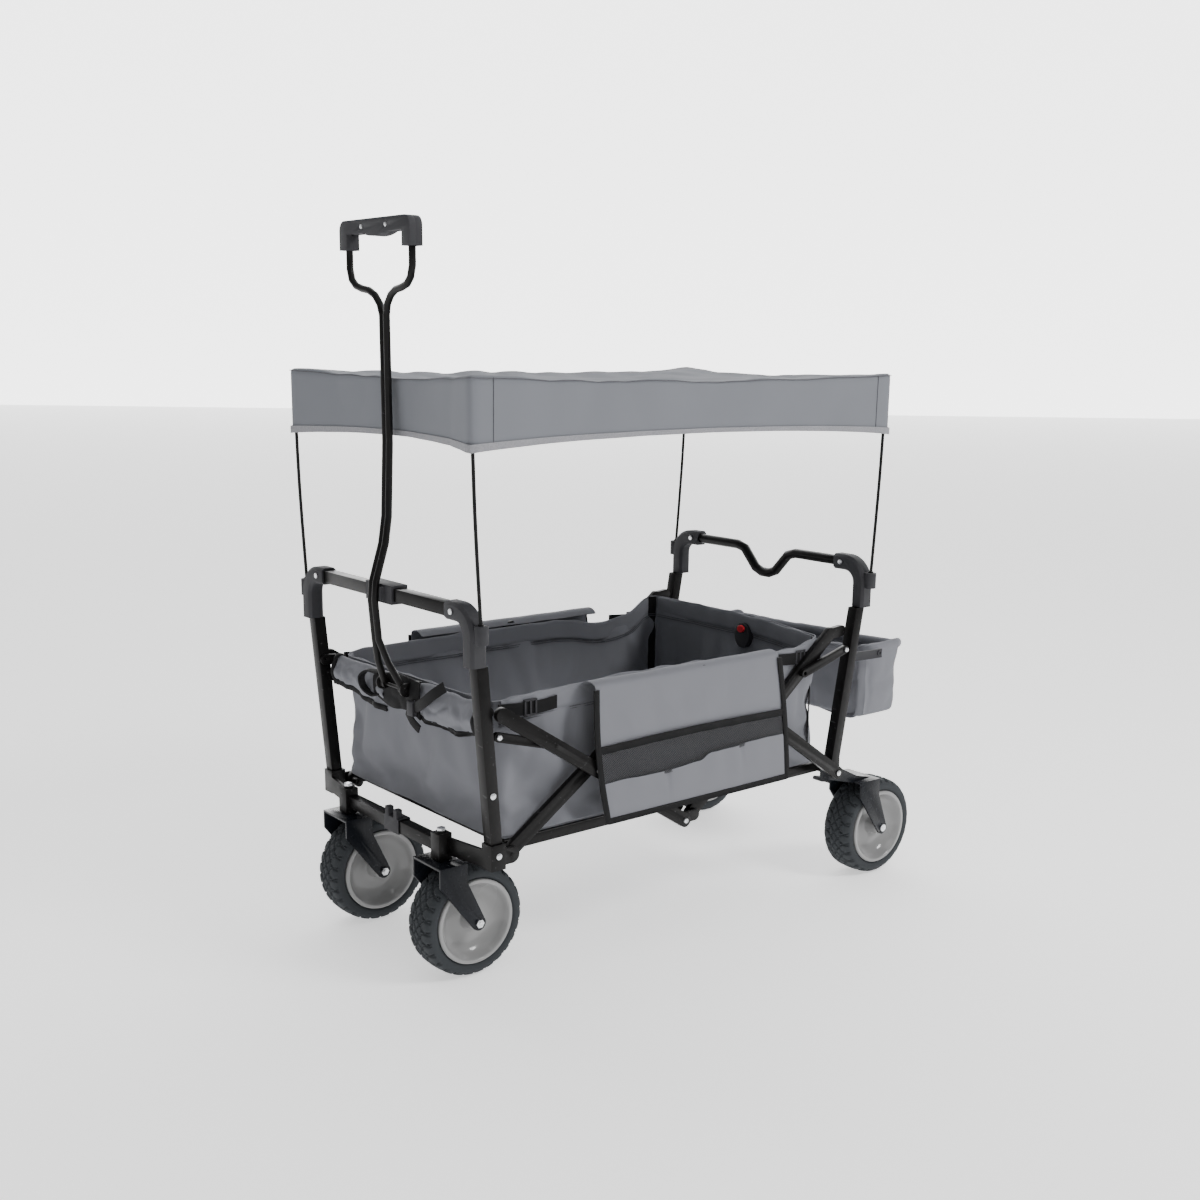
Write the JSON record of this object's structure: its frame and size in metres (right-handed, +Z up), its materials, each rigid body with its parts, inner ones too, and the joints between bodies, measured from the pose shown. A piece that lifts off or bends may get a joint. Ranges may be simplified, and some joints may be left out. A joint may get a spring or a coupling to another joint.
{
  "type": "folding pull wagon",
  "caption": "Folding kids pull wagon with scissor frame, swivel casters, fabric basket, rear bag, pull handle and sun canopy.",
  "frame": {"origin": "on the ground under the middle of the wheelbase and of the width", "axes": "-X forward (pull handle end), +Y to the left side, +Z up"},
  "size_m": [1.138, 0.594, 1.26],
  "materials": {
    "frame_black": "satin black powder coat",
    "black_plastic": "fine moulded texture",
    "bolt_steel": "zinc plated",
    "fork_black": "satin black powder coat",
    "rod_black": "satin black",
    "grey_canvas": "woven polyester",
    "canopy_canvas": "woven polyester",
    "black_webbing": "woven webbing",
    "tyre_rubber": "treaded foam rubber",
    "rim_grey": "smooth moulded grey",
    "red_plastic": "smooth red"
  },
  "bodies": {
    "front_frame": {"front_posts": "frame_black", "front_corner_joints": "black_plastic", "front_top_bar": "frame_black", "bar_clip": "black_plastic", "front_mid_bar": "frame_black", "handle_bracket": "frame_black", "front_axle_tube": "frame_black", "axle_clip": "black_plastic", "front_foot_brackets": "frame_black", "caster_housings": "frame_black", "front_screws": "bolt_steel", "front_canopy_rods": "rod_black", "canopy_cover": "canopy_canvas", "basket_front_panel": "grey_canvas", "basket_shell": "grey_canvas", "side_pockets": "grey_canvas", "front_straps": "black_webbing", "floor_liner": "grey_canvas"},
    "caster_left": {"caster_fork_left": "fork_black", "caster_axle_left": "bolt_steel"},
    "caster_right": {"caster_fork_right": "fork_black", "caster_axle_right": "bolt_steel"},
    "wheel_front_left": {"tyre_front_left": "tyre_rubber", "rim_front_left": "rim_grey"},
    "wheel_front_right": {"tyre_front_right": "tyre_rubber", "rim_front_right": "rim_grey"},
    "wheel_rear_left": {"tyre_rear_left": "tyre_rubber", "rim_rear_left": "rim_grey"},
    "wheel_rear_right": {"tyre_rear_right": "tyre_rubber", "rim_rear_right": "rim_grey"},
    "rear_frame": {"rear_posts": "frame_black", "rear_corner_joints": "black_plastic", "push_bar": "frame_black", "wheel_carriers": "fork_black", "rear_axles": "bolt_steel", "rear_canopy_rods": "rod_black", "rear_bag": "grey_canvas", "bag_hangers": "black_webbing", "belt_buckle": "black_plastic", "rear_screws": "bolt_steel", "rear_straps": "black_webbing"},
    "buckle_button": {"buckle_button": "red_plastic"},
    "pedal_left": {"brake_pedal_left": "black_plastic"},
    "pedal_right": {"brake_pedal_right": "black_plastic"},
    "pull_handle": {"handle_tube": "frame_black", "grip_front": "black_plastic", "grip_back": "black_plastic", "grip_screws": "bolt_steel"},
    "floor_front": {"floor_frame_front": "frame_black"},
    "floor_rear": {"floor_frame_rear": "frame_black"},
    "lower_arms_front": {"lower_arms_front": "frame_black"},
    "upper_arms_front": {"upper_arms_front": "frame_black"},
    "lower_arms_rear": {"lower_arms_rear": "frame_black"},
    "upper_arms_rear": {"upper_arms_rear": "frame_black"},
    "links_front": {"front_links": "frame_black"},
    "links_rear": {"rear_links": "frame_black"},
    "top_hubs": {"top_hubs": "frame_black"},
    "bottom_hubs": {"bottom_hubs": "frame_black"}
  },
  "joints": [
    {"name": "fold", "type": "hinge", "parent": "front_frame", "child": "floor_front", "pos_m": [-0.451, 0, 0.24], "axis": [0, -1, 0], "range_deg": [0, 80], "deforming": ["canopy_cover", "basket_shell", "floor_liner", "side_pockets", "front_straps", "rear_straps"]},
    {"name": "floor_rear_fold", "type": "hinge", "parent": "floor_front", "child": "floor_rear", "pos_m": [-0.0585, 0, 0.24], "axis": [0, 1, 0], "range_deg": [0, 160]},
    {"name": "rear_frame_fold", "type": "hinge", "parent": "floor_rear", "child": "rear_frame", "pos_m": [0.334, 0, 0.24], "axis": [0, -1, 0], "range_deg": [0, 80]},
    {"name": "lower_arms_front_fold", "type": "hinge", "parent": "front_frame", "child": "lower_arms_front", "pos_m": [-0.451, 0, 0.24], "axis": [0, -1, 0], "range_deg": [0, 49.4]},
    {"name": "upper_arms_front_fold", "type": "hinge", "parent": "lower_arms_front", "child": "upper_arms_front", "pos_m": [-0.28032, 0, 0.35713], "axis": [0, 1, 0], "range_deg": [0, 100.1]},
    {"name": "links_front_fold", "type": "hinge", "parent": "front_frame", "child": "links_front", "pos_m": [-0.47959, 0, 0.446], "axis": [0, -1, 0], "range_deg": [0, 85.6]},
    {"name": "lower_arms_rear_fold", "type": "hinge", "parent": "rear_frame", "child": "lower_arms_rear", "pos_m": [0.334, 0, 0.24], "axis": [0, 1, 0], "range_deg": [0, 49.4]},
    {"name": "upper_arms_rear_fold", "type": "hinge", "parent": "lower_arms_rear", "child": "upper_arms_rear", "pos_m": [0.14024, 0, 0.37297], "axis": [0, -1, 0], "range_deg": [0, 94.3]},
    {"name": "links_rear_fold", "type": "hinge", "parent": "rear_frame", "child": "links_rear", "pos_m": [0.3525, 0, 0.486], "axis": [0, 1, 0], "range_deg": [0, 90.9]},
    {"name": "top_hubs_fold", "type": "hinge", "parent": "lower_arms_front", "child": "top_hubs", "pos_m": [-0.0765, 0, 0.497], "axis": [0, 1, 0], "range_deg": [0, 49.4]},
    {"name": "bottom_hubs_fold", "type": "hinge", "parent": "upper_arms_front", "child": "bottom_hubs", "pos_m": [-0.0765, 0, 0.226], "axis": [0, -1, 0], "range_deg": [0, 50.9]},
    {"name": "caster_left_swivel", "type": "hinge", "parent": "front_frame", "child": "caster_left", "pos_m": [-0.516, 0.156, 0.24], "axis": [0, 0, 1], "continuous": true},
    {"name": "caster_right_swivel", "type": "hinge", "parent": "front_frame", "child": "caster_right", "pos_m": [-0.516, -0.156, 0.24], "axis": [0, 0, 1], "continuous": true},
    {"name": "wheel_front_left_spin", "type": "hinge", "parent": "caster_left", "child": "wheel_front_left", "pos_m": [-0.469, 0.156, 0.1], "axis": [0, 1, 0], "continuous": true},
    {"name": "wheel_front_right_spin", "type": "hinge", "parent": "caster_right", "child": "wheel_front_right", "pos_m": [-0.469, -0.156, 0.1], "axis": [0, 1, 0], "continuous": true},
    {"name": "wheel_rear_left_spin", "type": "hinge", "parent": "rear_frame", "child": "wheel_rear_left", "pos_m": [0.469, 0.251, 0.1], "axis": [0, 1, 0], "continuous": true},
    {"name": "wheel_rear_right_spin", "type": "hinge", "parent": "rear_frame", "child": "wheel_rear_right", "pos_m": [0.469, -0.251, 0.1], "axis": [0, 1, 0], "continuous": true},
    {"name": "brake_pedal_left_turn", "type": "hinge", "parent": "rear_frame", "child": "pedal_left", "pos_m": [0.407, 0.251, 0.192], "axis": [0, -1, 0], "range_deg": [0, 20]},
    {"name": "brake_pedal_right_turn", "type": "hinge", "parent": "rear_frame", "child": "pedal_right", "pos_m": [0.407, -0.251, 0.192], "axis": [0, -1, 0], "range_deg": [0, 20]},
    {"name": "pull_handle_tilt", "type": "hinge", "parent": "front_frame", "child": "pull_handle", "pos_m": [-0.50834, 0, 0.483], "axis": [0, -1, 0], "range_deg": [0, 100]},
    {"name": "buckle_button_press", "type": "slide", "parent": "rear_frame", "child": "buckle_button", "axis": [1, 0, 0], "range_m": [0, 0.003], "stiffness_N_per_m": 400}
  ],
  "couplings": [
    {"joint": "floor_rear_fold", "follows": "fold", "ratio": 2},
    {"joint": "rear_frame_fold", "follows": "fold", "ratio": 1},
    {"joint": "lower_arms_front_fold", "follows": "fold", "ratio": 0.615},
    {"joint": "upper_arms_front_fold", "follows": "fold", "ratio": 1.2497},
    {"joint": "links_front_fold", "follows": "fold", "ratio": 1.0684},
    {"joint": "lower_arms_rear_fold", "follows": "fold", "ratio": 0.615},
    {"joint": "upper_arms_rear_fold", "follows": "fold", "ratio": 1.1765},
    {"joint": "links_rear_fold", "follows": "fold", "ratio": 1.1348},
    {"joint": "top_hubs_fold", "follows": "fold", "ratio": 0.615},
    {"joint": "bottom_hubs_fold", "follows": "fold", "ratio": 0.63473}
  ]
}
